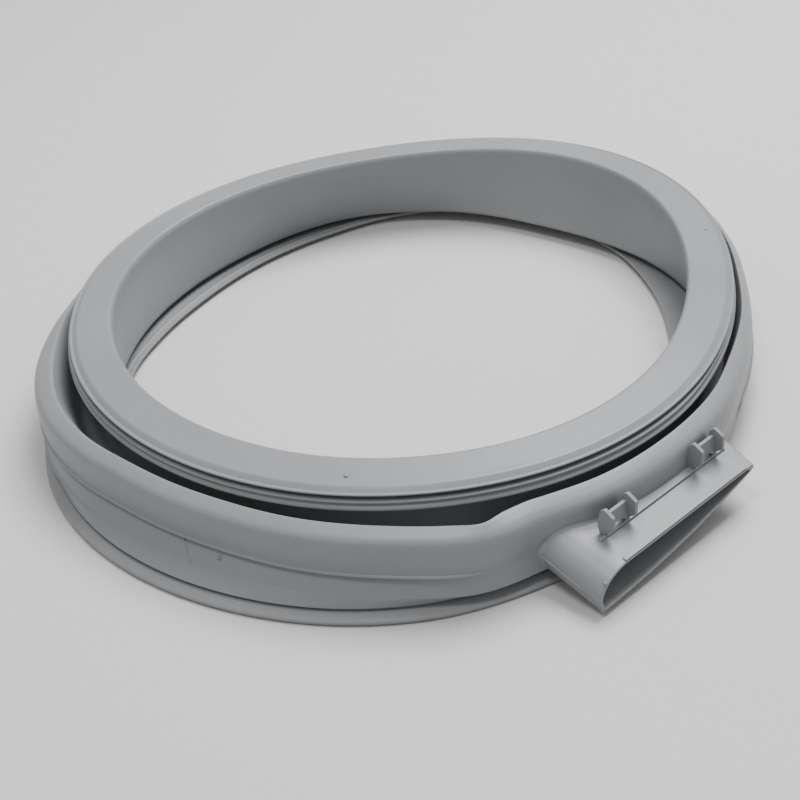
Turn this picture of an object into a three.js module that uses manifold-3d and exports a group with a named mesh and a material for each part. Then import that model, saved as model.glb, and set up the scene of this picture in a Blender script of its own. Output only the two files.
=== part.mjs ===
// Door seal of a front-loading washer-dryer: one grey rubber moulding.
// It lies on its tub ring with the door face up. The drying-air duct points to +X.
// Millimetres, +Z up. Angles go round the ring from +X, counterclockwise seen from above.
import * as THREE from 'three';
import Module from 'manifold-3d';

const wasm = await Module();
wasm.setup();
const { Manifold, CrossSection } = wasm;

// Driving sizes
const SEGMENTS = 76;
const LIP_R = 183.6;
const LIP_Z = 51.2;
const FACE_INNER_R = 160.0;
const FACE_INNER_Z = 54.3;
const SKIRT_R = 165.0;
const SKIRT_Z = 8.4;
const SHOULDER_R = 198.0;
const SHOULDER_Z = 44.0;
const WALL_R = 197.5;
const STEP_Z = 21.6;
const TUB_R = 202.0;
const RIM_R = 157.9;

// The free rubber lies a little out of round. A wave is [cos part, sin part] in mm, starting
// with one wave round the ring, which is a sideways shift. A path is a list of
// [angle, mm] points, joined by one smooth closed curve. All but SHOULDER_WIDTH are mm in or out.
const LIP_WAVES = [[-3.3, 2.4], [0.8, 0.1], [0.8, -4.3], [1.5, 0.6]];
const SHOULDER_PATH = [
  [-162, 1.5], [-147, 0.3], [-135, 4.3], [-124, 7], [-112, 6.3], [-100, 1.6], [-90, -2.8], [-80, -4],
  [-70, -3.4], [-58, 0.2], [-46, 4.6], [-38, 8.8], [-34, 10], [-30, 7.8], [-25, 3.8], [-14, 3.4],
  [-4, 1.2], [10, -2.6], [20, -7.7], [32, -11.2], [45, -12.3], [58, -9], [71, -4.8], [85, -0.2],
  [100, 1.2], [120, -1.2], [135, -4.5], [150, -7], [165, -4], [180, 0],
];
const SHOULDER_WIDTH = [
  [-150, 6.6], [-140, 9.5], [-128, 14], [-112, 13.5], [-100, 11.4], [-60, 11.4], [-12, 11.4], [10, 10.2],
  [22, 8.6], [34, 6.6], [60, 6.3], [90, 6.3], [150, 6.5], [180, 7.4],
];
const SKIRT_PATH = [[-150, 0], [0, 0], [60, -1], [101, -10], [130, 0], [151, 6], [180, 1]];
const RIM_PATH = [
  [-169, -2.6], [-153, -0.9], [-135, 3.6], [-60, 0], [5, -9], [45, -14.2], [68, -7.7], [86, 2],
  [99, 7.5], [112, 10.5], [130, 17], [144, 13.5], [155, 7.5], [172, 1.5],
];
const TUB_PATH = [
  [-150, 2], [-128, 4], [-105, 10], [-70, 12], [-42, 10.5], [-24, 2], [0, -9], [18, -17], [32, -19.5],
  [46, -17], [65, -11], [90, -6], [120, -4], [150, -4], [180, -3],
];

// Air duct: the mouth is a plane across X. The duct drops away from the shell and narrows to it.
const MOUTH_X = 218;
const MOUTH_TOP_Z = 22.8;
const DUCT_BACK_X = 168;
const DUCT_LEFT_Y = -86.8;
const DUCT_RIGHT_Y = 22.4;
const DUCT_WALL = 2.6;
const DUCT_DROP = 0.165;
const DUCT_FLARE = 0.0017;

// Clip lugs on the duct
const LUG_X = 201.4;
const LUG_CENTRES_Y = [-57.8, 6.4];
const LUG_SPAN = 15.6;
const LUG_PLATE = 1.9;
const WEB = 1.8;

function wave(waves, angle) {
  return waves.reduce((sum, [c, s], i) => sum + c * Math.cos((i + 1) * angle) + s * Math.sin((i + 1) * angle), 0);
}

// Height of a closed smooth curve through the points of a path
function along(path, angle) {
  const deg = THREE.MathUtils.radToDeg(angle);
  const point = (i) => {
    const turns = Math.floor(i / path.length);
    const [at, value] = path[i - turns * path.length];
    return [at + 360 * turns, value];
  };
  const at = THREE.MathUtils.euclideanModulo(deg - path[0][0], 360) + path[0][0];
  const i = path.filter(([start]) => start <= at).length - 1;
  const [p0, p1, p2, p3] = [point(i - 1), point(i), point(i + 1), point(i + 2)];
  const span = p2[0] - p1[0];
  const t = (at - p1[0]) / span;
  const m1 = ((p2[1] - p0[1]) / (p2[0] - p0[0])) * span;
  const m2 = ((p3[1] - p1[1]) / (p3[0] - p1[0])) * span;
  return (2 * t ** 3 - 3 * t ** 2 + 1) * p1[1] + (t ** 3 - 2 * t ** 2 + t) * m1
    + (3 * t ** 2 - 2 * t ** 3) * p2[1] + (t ** 3 - t ** 2) * m2;
}

// One section through the rubber, from the inner rim out along the floor, up the wall, down and
// up the fold, over the door face and back. Each point is [radius, height].
function section(angle) {
  const { lerp } = THREE.MathUtils;
  const lip = wave(LIP_WAVES, angle);
  const rim = along(RIM_PATH, angle);
  const shoulder = along(SHOULDER_PATH, angle);
  const crest = SHOULDER_R + shoulder;
  const foldEdge = crest - along(SHOULDER_WIDTH, angle);
  const skirt = along(SKIRT_PATH, angle);
  const tub = along(TUB_PATH, angle);
  const leg = 0.6 * shoulder + 0.4 * skirt;
  const bottomZ = 10.4 - 0.1 * tub;
  const between = (share) => lerp(WALL_R + shoulder, TUB_R + tub, share);
  const faceZ = (r) => THREE.MathUtils.mapLinear(r, FACE_INNER_R, LIP_R, FACE_INNER_Z, LIP_Z);

  return [
    // inner rim and tub groove
    [RIM_R + rim, 2.2], [TUB_R - 19.5 + tub, 1.4],
    [TUB_R - 17.3 + tub, 0], [TUB_R - 12.9 + tub, 0], [TUB_R - 12.6 + tub, 4], [TUB_R - 9.2 + tub, 4],
    [TUB_R - 8.9 + tub, 0],
    // tub flange and clamp groove
    [TUB_R - 1.6 + tub, 0], [TUB_R + tub, 1.3], [TUB_R - 0.5 + tub, 3.0],
    [TUB_R - 6.4 + tub, 4.0], [TUB_R - 7.2 + tub, 5.0], [TUB_R - 5.6 + tub, 6.2],
    // outer wall: crease, then the moulding step
    [between(0.3) + 0.2, 9.2], [between(0.1), 14.2],
    [WALL_R - 1.3 + shoulder, STEP_Z - 0.9], [WALL_R + 0.1 + shoulder, STEP_Z],
    // shoulder
    [crest + 0.8, 26.5], [crest + 0.4, 33], [crest - 0.6, 38.6],
    [lerp(crest, foldEdge, 0.24), 42.2], [lerp(crest, foldEdge, 0.52), SHOULDER_Z],
    [lerp(crest, foldEdge, 0.8), SHOULDER_Z - 0.5], [foldEdge, SHOULDER_Z - 3.4],
    // fold, down one leg and up the other
    [foldEdge - 1.4, 34], [foldEdge - 4.6, 22], [179.6 + leg, 13.8],
    [176.2 + 0.3 * shoulder + 0.7 * skirt, bottomZ + 0.5], [172.4 + skirt, bottomZ], [169.4 + skirt, 13.4],
    [168.0 + 0.6 * skirt + 0.4 * lip, 21], [166.2 + lip, 31], [167.4 + lip, 36.4], [173.5 + lip, 39.2],
    // lower lip
    [LIP_R - 4.4 + lip, 40.2], [LIP_R - 1 + lip, 41.2], [LIP_R - 0.2 + lip, 42.1],
    [LIP_R - 0.9 + lip, 43.4], [LIP_R + lip, 46.4], [LIP_R - 0.6 + lip, 47],
    // groove for the front panel, and upper lip
    [LIP_R - 7 + lip, 47.2], [LIP_R - 7 + lip, 49.3], [LIP_R - 0.7 + lip, 49.4], [LIP_R + lip, 50.1],
    [LIP_R - 0.4 + lip, LIP_Z],
    // door face with a shallow line near its edge
    [LIP_R - 4.6 + lip, faceZ(LIP_R - 4.6)], [LIP_R - 5.2 + lip, faceZ(LIP_R - 5.2) - 0.4],
    [LIP_R - 6.2 + lip, faceZ(LIP_R - 6.2)], [FACE_INNER_R + 2.2 + lip, faceZ(FACE_INNER_R + 2.2)],
    [FACE_INNER_R + lip, FACE_INNER_Z - 0.3], [FACE_INNER_R - 1.2 + lip, FACE_INNER_Z - 2],
    // inside of the skirt, down to its free edge
    [159.4 + lip, 45], [161.4 + 0.6 * lip + 0.4 * skirt, 28], [SKIRT_R + skirt, SKIRT_Z + 1.4],
    [SKIRT_R + 0.9 + skirt, SKIRT_Z - 0.5],
    // hollow behind the fold
    [172.8 + skirt, bottomZ - 3], [178.4 + 0.3 * shoulder + 0.7 * skirt, bottomZ - 2.4], [183.0 + leg, 12.2],
    [foldEdge - 1.5, 21.2], [foldEdge + 1.6, 33.4], [lerp(crest, foldEdge, 0.56), 40.2],
    [lerp(crest, foldEdge, 0.4), 37], [crest - 2.9, 32],
    [crest - 2.6, 26], [WALL_R - 4.5 + shoulder, STEP_Z - 1.6],
    [between(0.12) - 3.4, 13.4], [between(0.3) - 3.2, 10.4], [TUB_R - 14.5 + tub, 5.9],
    // top of the inner rim
    [TUB_R - 19.5 + tub, 4.4], [RIM_R + 0.5 + rim, 4.2],
  ];
}

// Sweeps the section round the ring into one closed shell.
function sweepRing(sectionAt) {
  const positions = [];
  const index = [];
  let count = 0;
  for (let i = 0; i < SEGMENTS; i += 1) {
    const angle = (i / SEGMENTS) * 2 * Math.PI;
    const ring = sectionAt(angle);
    count = ring.length;
    for (const [r, z] of ring) positions.push(r * Math.cos(angle), r * Math.sin(angle), z);
  }
  for (let i = 0; i < SEGMENTS; i += 1) {
    const a = i * count;
    const b = ((i + 1) % SEGMENTS) * count;
    for (let j = 0; j < count; j += 1) {
      const k = (j + 1) % count;
      index.push(a + j, b + j, b + k, a + j, b + k, a + k);
    }
  }
  return new Manifold({
    numProp: 3,
    vertProperties: new Float32Array(positions),
    triVerts: new Uint32Array(index),
  });
}

// A solid that fills the ring out to a wall of the section, from below the floor to above the lip.
function fillTo(radiusAt, low, high) {
  const outline = Array.from({ length: SEGMENTS }, (_, i) => {
    const angle = (i / SEGMENTS) * 2 * Math.PI;
    const r = radiusAt(angle);
    return [r * Math.cos(angle), r * Math.sin(angle)];
  });
  return Manifold.extrude(new CrossSection([outline]), high - low).translate(0, 0, low);
}

// Mouth outline in the plane across X, as [y, z] seen against the air flow.
function mouthShape() {
  const shape = new THREE.Shape();
  shape.moveTo(DUCT_LEFT_Y, 3.2);
  shape.quadraticCurveTo(-52, 3.8, -18, 10.2);
  shape.quadraticCurveTo(4, 14.6, DUCT_RIGHT_Y - 0.8, 20);
  shape.quadraticCurveTo(DUCT_RIGHT_Y + 1.2, 21.8, DUCT_RIGHT_Y - 2, MOUTH_TOP_Z);
  shape.lineTo(-67, MOUTH_TOP_Z);
  shape.bezierCurveTo(-78, MOUTH_TOP_Z - 0.6, -86, 14.4, DUCT_LEFT_Y, 3.2);
  return shape.getPoints(7).slice(0, -1).map((p) => [p.x, p.y]);
}

function ductSolid(outline) {
  const alongZ = Manifold.extrude(outline, MOUTH_X - DUCT_BACK_X, 2);
  return alongZ.warp((v) => {
    const [y, z, t] = v;
    const back = MOUTH_X - DUCT_BACK_X - t;
    v[0] = DUCT_BACK_X + t;
    v[1] = DUCT_LEFT_Y + (y - DUCT_LEFT_Y) * (1 + DUCT_FLARE * back);
    v[2] = z + DUCT_DROP * back;
  });
}

// An H-shaped clip: two upright plates joined by a thin web with an arch under it.
function lug(centreY) {
  const plateShape = new CrossSection([[
    [-5.2, 1.4], [-1.6, -1.6], [3.6, -1.6], [4.9, 4.4], [4.8, 12.4], [1.2, 15.6], [-3.3, 11.6],
  ]]);
  const plate = Manifold.extrude(plateShape, LUG_PLATE).translate(0, 0, -LUG_PLATE / 2).rotate(90, 0, 0);
  const half = LUG_SPAN / 2;
  const webShape = new THREE.Shape();
  webShape.moveTo(-half, -1.6);
  webShape.lineTo(-half + 1.4, -1.6);
  webShape.bezierCurveTo(-half + 3, 6.4, half - 3, 6.4, half - 1.4, -1.6);
  webShape.lineTo(half, -1.6);
  webShape.lineTo(half, 12.2);
  webShape.lineTo(-half, 12.2);
  const webPoints = webShape.getPoints(6).map((p) => [p.x, p.y]);
  const web = Manifold.extrude(new CrossSection([webPoints]), WEB).translate(0, 0, -WEB / 2).rotate(90, 0, 90);
  return Manifold.union([plate.translate(0, -half, 0), plate.translate(0, half, 0), web])
    .translate(LUG_X, centreY, MOUTH_TOP_Z + DUCT_DROP * (MOUTH_X - LUG_X));
}

// Raised pad that carries the lugs, and the bead along the top of the mouth
function topStrip(x0, x1, y0, y1, rise) {
  const side = [[x0, -1.2], [x1, -1.2], [x1, rise], [x0, rise]];
  return Manifold.extrude(new CrossSection([side]), y1 - y0).rotate(90, 0, 0).translate(0, y1, 0)
    .warp((v) => { v[2] += MOUTH_TOP_Z + DUCT_DROP * (MOUTH_X - v[0]); });
}

const outer = new CrossSection([mouthShape()]);
const inner = outer.offset(-DUCT_WALL, 'Round', 2, 12);
const behindWall = fillTo((angle) => WALL_R - 1.6 + along(SHOULDER_PATH, angle), -5, 80);
const insideWall = fillTo((angle) => SHOULDER_R - 7 + along(SHOULDER_PATH, angle), -5, 80);

const ring = sweepRing(section);
const duct = ductSolid(outer).subtract(behindWall);
const passage = ductSolid(inner).translate(0.6, 0, 0).subtract(insideWall);
const pad = topStrip(186, 203, -70, 19.5, 0.8).subtract(behindWall);
const bead = topStrip(215.8, MOUTH_X, -70.5, 16.5, 0.8);
const seal = Manifold.union([ring, duct, pad, bead, ...LUG_CENTRES_Y.map(lug)]).subtract(passage);

function toGeometry(solid) {
  const mesh = solid.getMesh();
  const geometry = new THREE.BufferGeometry();
  geometry.setAttribute('position', new THREE.BufferAttribute(new Float32Array(mesh.vertProperties), 3));
  geometry.setIndex(new THREE.BufferAttribute(new Uint32Array(mesh.triVerts), 1));
  return geometry;
}

const rubber = new THREE.MeshStandardMaterial({ color: 0x9a9c9e, roughness: 0.62, metalness: 0.0 });
const doorSeal = new THREE.Mesh(toGeometry(seal), rubber);
doorSeal.name = 'door_seal';

// The origin is the middle of the seal's footprint, on the face it lies on.
const box = new THREE.Box3().setFromObject(doorSeal);
doorSeal.position.set(-(box.min.x + box.max.x) / 2, -(box.min.y + box.max.y) / 2, -box.min.z);

const part = new THREE.Group();
part.name = 'washer_dryer_door_seal';
part.add(doorSeal);

export default part;
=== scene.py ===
# Looks for the door seal of a washer-dryer: one grey rubber moulding on a plain pale floor.
# Lengths are in millimetres in the ring's own frame, and are turned into metres in place().
# Angles go round the ring from +X, counterclockwise seen from above. The duct points to +X.
import math

import bmesh
import bpy
from mathutils import Matrix, Vector, noise


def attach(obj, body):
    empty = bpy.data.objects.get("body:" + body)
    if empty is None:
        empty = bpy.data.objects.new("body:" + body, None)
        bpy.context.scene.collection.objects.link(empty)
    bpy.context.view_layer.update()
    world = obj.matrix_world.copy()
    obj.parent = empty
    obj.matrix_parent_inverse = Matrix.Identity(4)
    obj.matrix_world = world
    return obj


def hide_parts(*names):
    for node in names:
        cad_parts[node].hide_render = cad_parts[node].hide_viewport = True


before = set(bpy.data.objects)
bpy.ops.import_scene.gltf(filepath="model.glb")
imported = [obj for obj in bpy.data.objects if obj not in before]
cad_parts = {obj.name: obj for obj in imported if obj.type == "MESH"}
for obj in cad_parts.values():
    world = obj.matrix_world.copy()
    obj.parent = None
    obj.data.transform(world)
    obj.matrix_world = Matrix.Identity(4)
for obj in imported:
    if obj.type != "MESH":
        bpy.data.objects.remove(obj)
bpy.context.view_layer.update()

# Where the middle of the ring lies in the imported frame
RING_X = -9.5
RING_Y = 6.99

# Driving sizes of the ring, as in the part
LIP_R = 183.6
LIP_Z = 51.2
FACE_INNER_R = 160.0
FACE_INNER_Z = 54.3
SKIRT_R = 165.0
SKIRT_Z = 8.4
SHOULDER_R = 198.0
SHOULDER_Z = 44.0
WALL_R = 197.5
STEP_Z = 21.6
TUB_R = 202.0
RIM_R = 157.9

# How the loose rubber lies out of round
LIP_WAVES = [(-3.3, 2.4), (0.8, 0.1), (0.8, -4.3), (1.5, 0.6)]
SHOULDER_PATH = [
    (-162, 1.5), (-147, 0.3), (-135, 4.3), (-124, 7), (-112, 6.3), (-100, 1.6), (-90, -2.8),
    (-80, -4), (-70, -3.4), (-58, 0.2), (-46, 4.6), (-38, 8.8), (-34, 10), (-30, 7.8), (-25, 3.8),
    (-14, 3.4), (-4, 1.2), (10, -2.6), (20, -7.7), (32, -11.2), (45, -12.3), (58, -9), (71, -4.8),
    (85, -0.2), (100, 1.2), (120, -1.2), (135, -4.5), (150, -7), (165, -4), (180, 0),
]
SHOULDER_WIDTH = [
    (-150, 6.6), (-140, 9.5), (-128, 14), (-112, 13.5), (-100, 11.4), (-60, 11.4), (-45, 11.4),
    (-38, 11.2), (-36, 10.6), (-34, 9.3), (-33, 9), (-32, 9.8), (-31, 11.4), (-30, 12.7),
    (-28.6, 13.1), (-27, 12.8), (-24, 11.8), (-19, 11.4), (-12, 11.4), (10, 10.2), (22, 8.6),
    (34, 6.6), (60, 6.3), (90, 6.3), (150, 6.5), (180, 7.4),
]
SKIRT_PATH = [(-150, 0), (0, 0), (60, -1), (101, -10), (130, 0), (151, 6), (180, 1)]
RIM_PATH = [
    (-169, -2.6), (-153, -0.9), (-135, 3.6), (-60, 0), (5, -9), (45, -14.2), (68, -7.7), (86, 2),
    (99, 7.5), (112, 10.5), (130, 17), (144, 13.5), (155, 7.5), (172, 1.5),
]
TUB_PATH = [
    (-150, 2), (-128, 4), (-105, 10), (-70, 12), (-42, 10.5), (-24, 2), (0, -9), (18, -17),
    (32, -19.5), (46, -17), (65, -11), (90, -6), (120, -4), (150, -4), (180, -3),
]

# Steps in degrees round the ring, with the fine ones at the bulge beside the duct
COARSE_STEP = 1.25
FINE_STEP = 0.5
FINE_FROM = -40
FINE_TO = -22

# Unevenness of the loose rubber: how much outward and upward
UNEVEN_R = 0.5
UNEVEN_Z = 0.35

# Air duct
MOUTH_X = 218.0
MOUTH_TOP_Z = 22.8
DUCT_LEFT_Y = -86.8
DUCT_RIGHT_Y = 22.4
DUCT_FLOOR_Z = 3.2
DUCT_INNER_FLOOR_Z = 4.9
DUCT_WALL = 1.4
DUCT_DROP = 0.165
DUCT_FLARE = 0.0017
LOWEST_ROOT_Z = 9.3
SEAM_Y = -88.2
SEAM_Z = 9.5

# Strips on the duct's top: from X, to X, from Y, to Y, rise, rounding
PAD = (186, 202.4, -50, -1.4, 1.2, 0.3)
PAD_FRONT_EDGE = (201.3, 203, -70, 19.5, 1.3, 0.3)
MOUTH_BEAD = (215.6, MOUTH_X, -70.5, 16.5, 0.8, 0.35)

# Clip lugs
LUG_X = 201.4
LUG_CENTRES_Y = (-57.8, 5.3)
LUG_SPAN = 15.6
LUG_PLATE = 1.9
LUG_WEB = 1.8
LUG_OUTLINE = [
    (-3.7, 5.2), (-2.0, -0.9), (0.2, -0.9), (0.6, 1.9), (5.3, 5.6), (6.1, 13.2), (0.6, 16.2),
    (-2.0, 13.9),
]
WEB_FOOT_Z = -0.7
WEB_TOP_Z = 12.2

# Mould marks: the parting line on the outer wall, and small pips
PARTING_DEG = -74.2
PARTING_SLANT_DEG = -0.3
PARTING_FROM_Z = 9.6
PARTING_ROWS = 11
# Pips on the ring: angle, radius, height, size and flatness. Pips on the mouth: y, z, size.
PIPS = [(-70.5, 197.2, 17.4, 1.1, 0.5), (-52.0, 168.4, 53.0, 1.2, 0.4), (57.5, 172.0, 52.6, 1.0, 0.4)]
MOUTH_PIPS = [(-83.8, 18.2, 1.0), (-88.0, 9.2, 0.7)]


def wave(waves, angle):
    return sum(
        c * math.cos((i + 1) * angle) + s * math.sin((i + 1) * angle)
        for i, (c, s) in enumerate(waves)
    )


def along(path, angle):
    """Height of a closed smooth curve through the points of a path."""
    count = len(path)

    def point(i):
        turns, k = divmod(i, count)
        return path[k][0] + 360 * turns, path[k][1]

    at = (math.degrees(angle) - path[0][0]) % 360 + path[0][0]
    i = sum(1 for start, _ in path if start <= at) - 1
    (x0, y0), (x1, y1), (x2, y2), (x3, y3) = (point(i + k) for k in (-1, 0, 1, 2))
    span = x2 - x1
    t = (at - x1) / span
    m1 = (y2 - y0) / (x2 - x0) * span
    m2 = (y3 - y1) / (x3 - x1) * span
    return (
        (2 * t**3 - 3 * t**2 + 1) * y1
        + (t**3 - 2 * t**2 + t) * m1
        + (3 * t**2 - 2 * t**3) * y2
        + (t**3 - t**2) * m2
    )


def smoothstep(low, high, x):
    t = min(max((x - low) / (high - low), 0.0), 1.0)
    return t * t * (3 - 2 * t)


def signed_degrees(angle):
    return (math.degrees(angle) + 180) % 360 - 180


def window(angle, rise_from, rise_to, fall_from, fall_to):
    """1 between two angles in degrees, fading to 0 outside them."""
    deg = signed_degrees(angle)
    return smoothstep(rise_from, rise_to, deg) * (1 - smoothstep(fall_from, fall_to, deg))


# The corners from the crease up to the shoulder, in the list below
OUTER_CORNERS = slice(14, 26)


# Each corner of the ring's section is (radius, height, cut, points): the corner is rounded off
# over the cut on both sides, with that many points.
def corners(angle):
    """The section of the ring at an angle, as a closed outline of sharp corners."""
    lip = wave(LIP_WAVES, angle)
    edge = LIP_R + lip
    face = FACE_INNER_R + lip
    swell = along(SHOULDER_PATH, angle)
    crest = SHOULDER_R + swell
    wall = WALL_R + swell
    fold = crest - along(SHOULDER_WIDTH, angle)
    skirt = along(SKIRT_PATH, angle)
    rim = RIM_R + along(RIM_PATH, angle)
    tub = TUB_R + along(TUB_PATH, angle)
    leg = 0.6 * swell + 0.4 * skirt
    low_leg = 0.3 * swell + 0.7 * skirt
    bottom_z = 10.4 - 0.1 * (tub - TUB_R)
    # The step and the crease run out beside the duct, and the fold's edge is soft at the left
    step = 1 - window(angle, -38, -29, 14, 24)
    crease = 1 - window(angle, -60, -44, 14, 24)
    soft = window(angle, -150, -132, -108, -94)
    low_edge = edge + 1.1 * window(angle, -147, -130, 2, 18)
    ridge = 1 - window(angle, -25, -5, 95, 120)

    def between(share):
        return wall + (tub - wall) * share

    def across(share):
        return crest + (fold - crest) * share

    def rim_at(inward):
        return rim + inward * min(1, (tub - 19.5 - rim) / 7)

    def face_z(r):
        share = (r - face) / (LIP_R - FACE_INNER_R)
        return FACE_INNER_Z + (LIP_Z - FACE_INNER_Z) * share

    beside_duct = window(angle, -46, -36, 20, 32)
    low_wall = between(0.4 - 0.1 * beside_duct) + 0.2
    crease_z = 11.2 - 2 * beside_duct
    high_wall = wall + 0.1 - 0.6 * step
    return [
        # inner rim and tub groove
        (rim, 3.0, 0.5, 2), (tub - 19.5, 1.5, 1.0, 2), (tub - 17.3, 0, 0.4, 2),
        (tub - 12.9, 0, 0.3, 2), (tub - 12.6, 4, 0.3, 2), (tub - 9.2, 4, 0.3, 2),
        (tub - 8.9, 0, 0.3, 2),
        # tub flange and clamp groove
        (tub - 1.6, 0, 0.9, 3), (tub, 1.4, 0.9, 3), (tub - 0.8, 2.8, 0.7, 3),
        (tub - 5.6, 4.4, 0.4, 2), (tub - 7.8, 4.6, 0.3, 2), (tub - 7.8, 5.5, 0.3, 2),
        (tub - 5.8, 6.3, 0.4, 3),
        # outer wall: crease, then the moulding step, which is a sharp bead
        (low_wall + 0.5, crease_z, 0.4 + 1.5 * (1 - crease), 3),
        (low_wall - 0.9 * crease, crease_z + 0.7, 0.4 + 1.5 * (1 - crease), 3),
        (low_wall + (high_wall - low_wall) * 0.5, 16.2, 2, 3),
        (high_wall, STEP_Z - 1.4, 0.3, 2),
        (wall + 0.1 + 1.9 * step, STEP_Z - 0.9, 0.3, 3),
        (wall + 0.1 + 1.9 * step, STEP_Z + 0.1, 0.5, 5),
        (wall + 0.1 + 0.9 * step, STEP_Z + 0.45, 0.4, 3),
        # shoulder
        (crest + 0.9, 26.8, 5, 4), (crest + 0.8, 33, 6, 4), (crest + 0.1, 38.0, 3.5, 5),
        (across(0.16), 40.6, 2.6, 5), (across(0.45), 42.5, 3, 3),
        (across(0.74), SHOULDER_Z, 0.7 + 3 * soft, 4),
        (across(0.84), SHOULDER_Z - 1.9, 1 + 3 * soft, 4),
        # fold, down one leg and up the other
        (fold - 1.0, 34, 6, 4), (fold - 4.6, 22, 6, 4), (179.6 + leg, 13.8, 4, 4),
        (176.2 + low_leg, bottom_z + 0.5, 3, 4), (172.4 + skirt, bottom_z, 2.4, 4),
        (169.4 + skirt, 13.4, 3, 4), (168.0 + 0.6 * skirt + 0.4 * lip, 21, 6, 4),
        (166.2 + lip, 31, 4, 4), (167.4 + lip, 36.4, 3, 4), (173.5 + lip, 39.2, 3, 3),
        # lower lip with two fine ridges
        (edge - 4.4, 40.5, 0.5, 2), (low_edge - 1.4, 41.5, 0.4, 2), (low_edge + 0.7, 42.3, 0.4, 3),
        (low_edge + 0.9, 43.2, 0.4, 3), (low_edge + 0.2, 44.0, 0.3, 2), (low_edge - 0.7, 44.5, 0.3, 2),
        (low_edge - 0.6, 45.6, 0.3, 2), (low_edge + 0.1, 46.3, 0.4, 3), (low_edge - 0.3, 47.1, 0.4, 3),
        # groove for the front panel, and upper lip with a bead along it
        (edge - 7, 47.1, 0.3, 2), (edge - 7, 49.0, 0.3, 2), (edge - 0.6, 49.0, 0.3, 3),
        (edge, 49.6, 0.4, 3), (edge - 0.5, 50.35, 0.4, 3), (edge - 1.5, 50.3, 0.35, 3),
        (edge - 2.0, 49.8, 0.2, 2),
        # door face
        (edge - 4.7, face_z(edge - 4.7) + 0.12, 0.8, 4), (edge - 7.2, face_z(edge - 7.2), 0.8, 2),
        (face + 12, face_z(face + 12), 2, 1),
        (face + 1.2, face_z(face + 1.2) + 0.05, 0.6, 3), (face, FACE_INNER_Z - 0.4, 0.6, 4),
        (face - 1.2, FACE_INNER_Z - 2.4, 1.0, 3),
        # inside of the skirt, down to its free edge
        (159.4 + lip, 45, 5, 4), (160.6 + 0.8 * lip + 0.2 * skirt, 36, 3, 1),
        (161.4 + 0.6 * lip + 0.4 * skirt, 28, 5, 3), (163.2 + 0.3 * lip + 0.7 * skirt, 18, 3, 1),
        (SKIRT_R + skirt, SKIRT_Z + 1.4, 0.6, 3), (SKIRT_R + 0.9 + skirt, SKIRT_Z - 0.5, 0.4, 2),
        # hollow behind the fold
        (172.8 + skirt, bottom_z - 3, 1, 2), (178.4 + low_leg, bottom_z - 2.4, 1, 1),
        (183.0 + leg, 12.2, 2, 1), (fold - 1.5, 21.2, 2, 1), (fold + 1.5, 33.4, 2, 1),
        (across(0.6), 40.6, 1, 1), (across(0.4), 37.6, 1, 1), (crest - 2.9, 32, 1, 1),
        (crest - 2.6, 26, 1, 1), (wall - 4.5, STEP_Z - 1.6, 1, 1),
        (between(0.12) - 3.4, 13.4, 1, 1), (between(0.3) - 3.2, 10.8, 1, 1), (tub - 14.5, 6.4, 1, 2),
        # top of the inner rim, with two fine ridges beside its edge
        (tub - 19.5, 4.8, 1, 2), (rim_at(5.6), 4.6, 0.4, 2), (rim_at(4.4), 4.6 + 0.7 * ridge, 0.4, 2),
        (rim_at(3.5), 4.6 + 0.6 * ridge, 0.3, 2), (rim_at(2.9), 4.6 - 0.1 * ridge, 0.3, 2),
        (rim_at(1.9), 4.6 + 0.6 * ridge, 0.4, 2), (rim_at(0.4), 4.6 + 0.3 * ridge, 0.5, 2),
    ]


def rounded(points):
    """Rounds off each corner of a closed outline."""
    out = []
    count = len(points)
    for i, (x, y, cut, steps) in enumerate(points):
        here = Vector((x, y))
        before = Vector(points[i - 1][:2]) - here
        after = Vector(points[(i + 1) % count][:2]) - here
        if steps == 1:
            out.append((x, y))
            continue
        start = here + before.normalized() * min(cut, 0.46 * before.length)
        end = here + after.normalized() * min(cut, 0.46 * after.length)
        for k in range(steps):
            t = k / (steps - 1)
            p = start * (1 - t) ** 2 + here * 2 * t * (1 - t) + end * t * t
            out.append((p.x, p.y))
    return out


def section(angle):
    """The rounded section, with the slight unevenness of loose rubber."""
    wobble = Vector((math.cos(angle), math.sin(angle), 0)) * 1.6
    dr = UNEVEN_R * noise.noise(wobble)
    dz = UNEVEN_Z * noise.noise(wobble + Vector((7, 3, 1)))
    return [(r + dr * min(z / 10, 1), z + dz * min(z / 40, 1)) for r, z in rounded(corners(angle))]


def polar(radius, angle, z):
    return Vector((radius * math.cos(angle), radius * math.sin(angle), z))


def place(bm, name):
    """Turns a mesh from the ring's frame in millimetres into an object in metres."""
    bmesh.ops.recalc_face_normals(bm, faces=bm.faces)
    bm.transform(Matrix.Scale(0.001, 4) @ Matrix.Translation((RING_X, RING_Y, 0)))
    mesh = bpy.data.meshes.new(name)
    bm.to_mesh(mesh)
    bm.free()
    obj = bpy.data.objects.new(name, mesh)
    bpy.context.scene.collection.objects.link(obj)
    return obj


def loft(loops, closed_path):
    """Joins loops of equal length with quads. An open path gets end caps."""
    bm = bmesh.new()
    rows = [[bm.verts.new(p) for p in loop] for loop in loops]
    size = len(rows[0])
    last = len(rows) if closed_path else len(rows) - 1
    for i in range(last):
        a, b = rows[i], rows[(i + 1) % len(rows)]
        for j in range(size):
            k = (j + 1) % size
            bm.faces.new((a[j], a[k], b[k], b[j]))
    if not closed_path:
        bm.faces.new(rows[0])
        bm.faces.new(rows[-1])
    return bm


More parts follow.
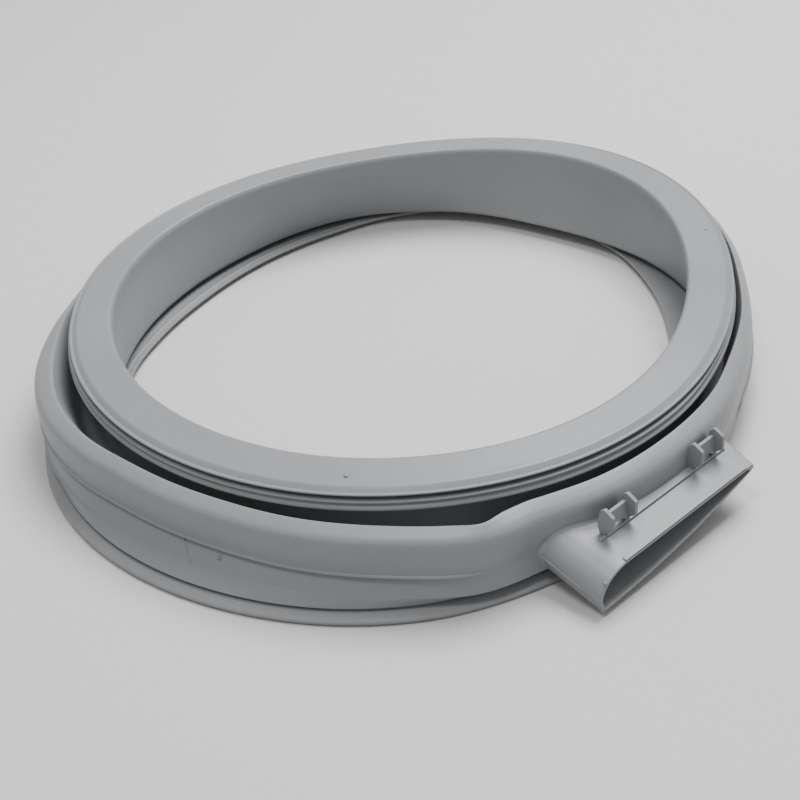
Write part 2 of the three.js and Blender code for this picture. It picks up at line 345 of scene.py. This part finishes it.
def build_ring():
    fine_count = round((FINE_TO - FINE_FROM) / FINE_STEP)
    coarse_count = round((360 - FINE_TO + FINE_FROM) / COARSE_STEP)
    degrees = [FINE_FROM + FINE_STEP * i for i in range(fine_count)]
    degrees += [FINE_TO + (360 - FINE_TO + FINE_FROM) * i / coarse_count for i in range(coarse_count)]
    loops = []
    for angle in map(math.radians, degrees):
        loops.append([polar(r, angle, z) for r, z in section(angle)])
    return place(loft(loops, True), "ring")


def wall_radius(angle, z):
    """Radius of the outer wall or shoulder at a height."""
    outer = [c[:2] for c in corners(angle)[OUTER_CORNERS]]
    if z <= outer[0][1]:
        return outer[0][0]
    for (r0, z0), (r1, z1) in zip(outer, outer[1:]):
        if z <= z1:
            return r0 + (r1 - r0) * (z - z0) / (z1 - z0)
    return outer[-1][0]


def quadratic(a, b, c, steps):
    ts = [k / steps for k in range(steps)]
    return [(Vector(a) * (1 - t) ** 2 + Vector(b) * 2 * t * (1 - t) + Vector(c) * t * t) for t in ts]


def cubic(a, b, c, d, steps):
    ts = [k / steps for k in range(steps)]
    return [
        Vector(a) * (1 - t) ** 3 + Vector(b) * 3 * t * (1 - t) ** 2
        + Vector(c) * 3 * t * t * (1 - t) + Vector(d) * t**3
        for t in ts
    ]


def mouth_outline(left, bottom, wall, top, tip_y, tip_r):
    """Outline of the duct in the plane across X. The wall is 0 for the outside."""
    seam = Vector((SEAM_Y + wall, SEAM_Z))
    lift = wall * 1.03
    slack = 0.12 * wall
    return (
        quadratic((left, bottom), (-52, 3.8 + lift), (-18 + slack, 10.2 + lift), 14)
        + quadratic((-18 + slack, 10.2 + lift), (4, 14.6 + lift), (tip_y - 0.8, top - tip_r * 2), 10)
        + quadratic((tip_y - 0.8, top - tip_r * 2), (tip_y + 1.2, top - tip_r * 0.7), (tip_y - 2, top), 8)
        + [Vector((tip_y - 2, top)).lerp(Vector((-69, top)), k / 10) for k in range(10)]
        + cubic((-69, top), (-80 + 0.6 * wall, top - 0.2), (-87.6 + wall, 16.5 - 0.5 * wall), seam, 18)
        + [seam.lerp(Vector((left, bottom)), k / 4) for k in range(4)]
    )


def duct_point(p, x):
    back = MOUTH_X - x
    y = DUCT_LEFT_Y + (p[0] - DUCT_LEFT_Y) * (1 + DUCT_FLARE * back)
    drop = DUCT_DROP + 0.075 * smoothstep(62, 84, -p[0])
    return Vector((x, y, p[1] + drop * back))


def meet_wall(p):
    """Where the duct's line through an outline point meets the outer wall."""
    low, high = 150.0, MOUTH_X
    for _ in range(24):
        mid = (low + high) / 2
        q = duct_point(p, mid)
        inside = math.hypot(q.x, q.y) < wall_radius(math.atan2(q.y, q.x), q.z)
        low, high = (mid, high) if inside else (low, mid)
    return low


def on_wall(p, sink=0.0):
    """The point of the outer wall at the same angle and height."""
    angle = math.atan2(p.y, p.x)
    return polar(wall_radius(angle, p.z) - sink, angle, p.z)


def build_tube():
    """The duct's wall as one closed skin, flared onto the ring with a fillet."""
    outer = mouth_outline(DUCT_LEFT_Y, DUCT_FLOOR_Z, 0.0, MOUTH_TOP_Z, DUCT_RIGHT_Y, 1.4)
    inner = mouth_outline(
        DUCT_LEFT_Y + 1.6, DUCT_INNER_FLOOR_Z, DUCT_WALL, MOUTH_TOP_Z - DUCT_WALL,
        DUCT_RIGHT_Y - 3.4, 1.0,
    )
    count = len(outer)
    roots = [meet_wall(p) for p in outer]
    centre = Vector((sum(p.x for p in outer) / count, sum(p.y for p in outer) / count))
    rows = []
    # Fillet, from the ring's wall to the duct
    fillet_steps = 6
    fillet = []
    for i, p in enumerate(outer):
        tangent = (outer[(i + 1) % count] - outer[i - 1]).normalized()
        outward = Vector((tangent.y, -tangent.x))
        if outward.dot(p - centre) < 0:
            outward = -outward
        top_share = smoothstep(-0.2, 0.9, outward.y)
        left_share = smoothstep(0.3, 1.0, -outward.x)
        radius = 0.9 + 1.2 * top_share + 0.3 * left_share
        root = duct_point(p, roots[i])
        spread = root + Vector((0, outward.x, outward.y)) * radius
        spread.z = max(spread.z, LOWEST_ROOT_Z)
        on = on_wall(spread, 0.12)
        start = duct_point(p, min(roots[i] + radius, MOUTH_X - 4))
        column = []
        for k in range(fillet_steps):
            t = k / (fillet_steps - 1)
            column.append(on * (1 - t) ** 2 + root * 2 * t * (1 - t) + start * t * t)
        fillet.append(column)
    for k in range(fillet_steps):
        rows.append([fillet[i][k] for i in range(count)])
    for share in (0.33, 0.66, 1.0):
        row = []
        for i, p in enumerate(outer):
            start_x = fillet[i][-1].x
            row.append(duct_point(p, start_x + (MOUTH_X - 0.5 - start_x) * share))
        rows.append(row)
    # Mouth edge
    rows.append([duct_point(outer[i].lerp(inner[i], 0.06), MOUTH_X - 0.15) for i in range(count)])
    rows.append([duct_point(outer[i].lerp(inner[i], 0.2), MOUTH_X) for i in range(count)])
    rows.append([duct_point(outer[i].lerp(inner[i], 0.8), MOUTH_X) for i in range(count)])
    rows.append([duct_point(outer[i].lerp(inner[i], 0.95), MOUTH_X - 0.2) for i in range(count)])
    rows.append([duct_point(inner[i], MOUTH_X - 0.7) for i in range(count)])
    for share in (0.5, 1.0):
        rows.append([
            duct_point(inner[i], MOUTH_X - 0.7 + (roots[i] - 1.6 - MOUTH_X + 0.7) * share)
            for i in range(count)
        ])
    return place(loft(rows, True), "duct"), inner


def build_passage(inner):
    """The space that is cut through the ring's wall behind the duct."""
    count = len(inner)
    centre = Vector((sum(p.x for p in inner) / count, sum(p.y for p in inner) / count))
    small = [p + (centre - p).normalized() * 0.25 for p in inner]
    loops = []
    for depth in (3.5, -8.0):
        loop = []
        for p in small:
            q = duct_point(p, meet_wall(p) + depth)
            loop.append(q)
        loops.append(loop)
    return place(loft(loops, False), "passage")


def build_slab(x0, x1, y0, y1, rise, end_round):
    """A strip on the duct's top that follows its slope. Its ends run out flat."""
    side = rounded([
        (x0, -1.1, 0, 1), (x1 - 0.6, -1.1, 0, 1), (x1 - 0.6, 0.15, 0, 1), (x1, 0.6, 0, 1),
        (x1, rise, end_round, 4), (x0, rise, end_round, 4),
    ])
    ends = [
        (y0, 0.55), (y0 + 0.35, 0.9), (y0 + 0.9, 1.0), (y1 - 0.9, 1.0), (y1 - 0.35, 0.9), (y1, 0.55),
    ]
    loops = []
    for y, share in ends:
        loop = []
        for x, z in side:
            height = z * share if z > 0 else z
            loop.append(Vector((x, y, height + MOUTH_TOP_Z + DUCT_DROP * (MOUTH_X - x))))
        loops.append(loop)
    return place(loft(loops, False), "strip")


def extrude_outline(points, thickness, bevel):
    """A flat plate in the XZ plane, centred on Y=0, with softened edges."""
    bm = bmesh.new()
    verts = [bm.verts.new((x, -thickness / 2, z)) for x, z in points]
    face = bm.faces.new(verts)
    moved = bmesh.ops.extrude_face_region(bm, geom=[face])
    top = [v for v in moved["geom"] if isinstance(v, bmesh.types.BMVert)]
    bmesh.ops.translate(bm, verts=top, vec=(0, thickness, 0))
    bmesh.ops.recalc_face_normals(bm, faces=bm.faces)
    sharp = [e for e in bm.edges if e.calc_face_angle(0) > math.radians(28)]
    bmesh.ops.bevel(bm, geom=sharp, offset=bevel, segments=2, profile=0.6, affect="EDGES")
    return bm


def build_lug(centre_y):
    """An H-shaped clip: two upright plates and a thin web with an arch under it."""
    plate = rounded([(x, z, 0.6, 3) for x, z in LUG_OUTLINE])
    half = LUG_SPAN / 2
    foot = half - 1.4
    arch = cubic((-foot, WEB_FOOT_Z), (-half + 3, 6.4), (half - 3, 6.4), (foot, WEB_FOOT_Z), 10)
    web = [(-half, WEB_FOOT_Z)] + [tuple(p) for p in arch] + [(foot, WEB_FOOT_Z), (half, WEB_FOOT_Z)]
    web += [(half, WEB_TOP_Z), (-half, WEB_TOP_Z)]
    base = Vector((LUG_X, centre_y, MOUTH_TOP_Z + DUCT_DROP * (MOUTH_X - LUG_X)))
    made = []
    for side in (-1, 1):
        bm = extrude_outline(plate, LUG_PLATE, 0.28)
        bm.transform(Matrix.Translation(base + Vector((0, side * half, 0))))
        made.append(place(bm, "lug_plate"))
    bm = extrude_outline(web, LUG_WEB, 0.25)
    bm.transform(Matrix.Translation(base) @ Matrix.Rotation(math.radians(90), 4, "Z"))
    made.append(place(bm, "lug_web"))
    return made


def build_pip(at, radius, flatness=1.0):
    """A small moulding pip."""
    bm = bmesh.new()
    bmesh.ops.create_icosphere(bm, subdivisions=2, radius=radius)
    bm.transform(Matrix.Translation(at) @ Matrix.Diagonal((1, 1, flatness, 1)))
    return place(bm, "pip")


def build_parting_line():
    """The thin slanted line where two parts of the mould met on the outer wall."""
    loops = []
    for k in range(PARTING_ROWS):
        z = PARTING_FROM_Z + k
        angle = math.radians(PARTING_DEG + PARTING_SLANT_DEG * k)
        r = wall_radius(angle, z)
        half = 0.28 / r
        loops.append([
            polar(r - 0.8, angle - half, z), polar(r, angle - half, z), polar(r + 0.5, angle, z),
            polar(r, angle + half, z), polar(r - 0.8, angle + half, z),
        ])
    return place(loft(loops, False), "parting_line")


def build_seam():
    """The raised line along the left side of the duct."""
    loops = []
    for x, rise in ((176, 0.1), (178, 0.5), (206.4, 0.5), (208.4, 0.1)):
        seam = duct_point(Vector((SEAM_Y, SEAM_Z)), x)
        loops.append([
            seam + Vector((0, 0.7, -0.5)), seam + Vector((0, 0.7, 0.5)),
            seam + Vector((0, -0.05, 0.5)), seam + Vector((0, -rise, 0)),
            seam + Vector((0, -0.05, -0.5)),
        ])
    return place(loft(loops, False), "seam")


def join_solids(base, others, operation):
    """Joins closed meshes into the base, or cuts them out of it."""
    for other in others:
        mod = base.modifiers.new("solid", "BOOLEAN")
        mod.operation = operation
        mod.solver = "EXACT"
        mod.object = other
        with bpy.context.temp_override(object=base, active_object=base, selected_objects=[base]):
            bpy.ops.object.modifier_apply(modifier=mod.name)
        bpy.data.objects.remove(other)
    return base


def shade_by_angle(obj, degrees):
    """Smooth shading that leaves edges sharper than the angle crisp."""
    bm = bmesh.new()
    bm.from_mesh(obj.data)
    for face in bm.faces:
        face.smooth = True
    for edge in bm.edges:
        edge.smooth = edge.calc_face_angle(0) < math.radians(degrees)
    bm.to_mesh(obj.data)
    bm.free()
    normals = obj.modifiers.new("normals", "WEIGHTED_NORMAL")
    normals.weight = 50
    normals.keep_sharp = True


# Camera at the photograph's viewing angle
camera_data = bpy.data.cameras.new("camera")
camera_data.lens = 72
camera_data.sensor_width = 36
camera_data.clip_start = 0.01
camera = bpy.data.objects.new("camera", camera_data)
bpy.context.scene.collection.objects.link(camera)
right = Vector((0.67673, 0.72824, -0.10820))
up = Vector((-0.35755, 0.45355, 0.81636))
back = Vector((0.64359, -0.51377, 0.56731))
turn = Matrix((right, up, back)).transposed().to_4x4()
spot = Vector((583.41 + RING_X, -478.20 + RING_Y, 497.66)) * 0.001
camera.matrix_world = Matrix.Translation(spot) @ turn
bpy.context.scene.camera = camera

# The seal
seal = build_ring()
tube, inner_outline = build_tube()
join_solids(seal, [build_passage(inner_outline)], "DIFFERENCE")
solids = [
    tube,
    build_slab(*PAD),
    build_slab(*PAD_FRONT_EDGE),
    build_slab(*MOUTH_BEAD),
    build_seam(),
    build_parting_line(),
]
for degrees, radius, z, size, flatness in PIPS:
    solids.append(build_pip(polar(radius, math.radians(degrees), z), size, flatness))
for y, z, size in MOUTH_PIPS:
    solids.append(build_pip(Vector((MOUTH_X - 0.8, y, z)), size))
for centre in LUG_CENTRES_Y:
    solids += build_lug(centre)
join_solids(seal, solids, "UNION")
seal.name = "seal_rubber"
shade_by_angle(seal, 32)

pieces = [seal]
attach(seal, "root")
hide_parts("door_seal")


# Rubber
def rubber_material():
    mat = bpy.data.materials.new("grey_rubber")
    mat.use_nodes = True
    nodes, links = mat.node_tree.nodes, mat.node_tree.links
    shader = nodes["Principled BSDF"]
    shader.inputs["IOR"].default_value = 1.5
    shader.inputs["Specular IOR Level"].default_value = 0.3
    coords = nodes.new("ShaderNodeTexCoord")
    cloud = nodes.new("ShaderNodeTexNoise")
    cloud.inputs["Scale"].default_value = 14
    cloud.inputs["Detail"].default_value = 4
    tint = nodes.new("ShaderNodeValToRGB")
    tint.color_ramp.elements[0].position = 0.3
    tint.color_ramp.elements[0].color = (0.188, 0.193, 0.201, 1)
    tint.color_ramp.elements[1].position = 0.7
    tint.color_ramp.elements[1].color = (0.206, 0.211, 0.220, 1)
    grain = nodes.new("ShaderNodeTexNoise")
    grain.inputs["Scale"].default_value = 900
    grain.inputs["Detail"].default_value = 3
    rough = nodes.new("ShaderNodeMapRange")
    rough.inputs["To Min"].default_value = 0.33
    rough.inputs["To Max"].default_value = 0.39
    bump = nodes.new("ShaderNodeBump")
    bump.inputs["Strength"].default_value = 0.12
    bump.inputs["Distance"].default_value = 0.0003
    links.new(coords.outputs["Object"], cloud.inputs["Vector"])
    links.new(coords.outputs["Object"], grain.inputs["Vector"])
    links.new(cloud.outputs["Fac"], tint.inputs["Fac"])
    links.new(tint.outputs["Color"], shader.inputs["Base Color"])
    links.new(cloud.outputs["Fac"], rough.inputs["Value"])
    links.new(rough.outputs["Result"], shader.inputs["Roughness"])
    links.new(grain.outputs["Fac"], bump.inputs["Height"])
    links.new(bump.outputs["Normal"], shader.inputs["Normal"])
    return mat


rubber = rubber_material()
for piece in pieces:
    piece.data.materials.clear()
    piece.data.materials.append(rubber)


# Floor
def plain_material(name, colour, roughness):
    mat = bpy.data.materials.new(name)
    mat.use_nodes = True
    shader = mat.node_tree.nodes["Principled BSDF"]
    shader.inputs["Base Color"].default_value = (*colour, 1)
    shader.inputs["Roughness"].default_value = roughness
    return mat


floor_bm = bmesh.new()
bmesh.ops.create_grid(floor_bm, x_segments=1, y_segments=1, size=6)
floor_mesh = bpy.data.meshes.new("floor")
floor_bm.to_mesh(floor_mesh)
floor_bm.free()
floor = bpy.data.objects.new("floor", floor_mesh)
bpy.context.scene.collection.objects.link(floor)
floor.data.materials.append(plain_material("pale_floor", (0.5, 0.5, 0.5), 0.9))


# Light
def area_light(name, energy, size, at, target):
    data = bpy.data.lights.new(name, "AREA")
    data.energy = energy
    data.shape = "DISK"
    data.size = size
    light = bpy.data.objects.new(name, data)
    light.location = at
    light.rotation_euler = (Vector(target) - Vector(at)).to_track_quat("-Z", "Y").to_euler()
    bpy.context.scene.collection.objects.link(light)


area_light("key", 50, 1.1, (-0.06, 0.7, 1.5), (0, 0, 0))
area_light("front", 9, 0.4, (0.2, -0.45, 1.6), (0.05, -0.1, 0))
world = bpy.data.worlds.new("studio")
world.use_nodes = True
world.node_tree.nodes["Background"].inputs["Color"].default_value = (1, 1, 1, 1)
world.node_tree.nodes["Background"].inputs["Strength"].default_value = 0.66
bpy.context.scene.world = world
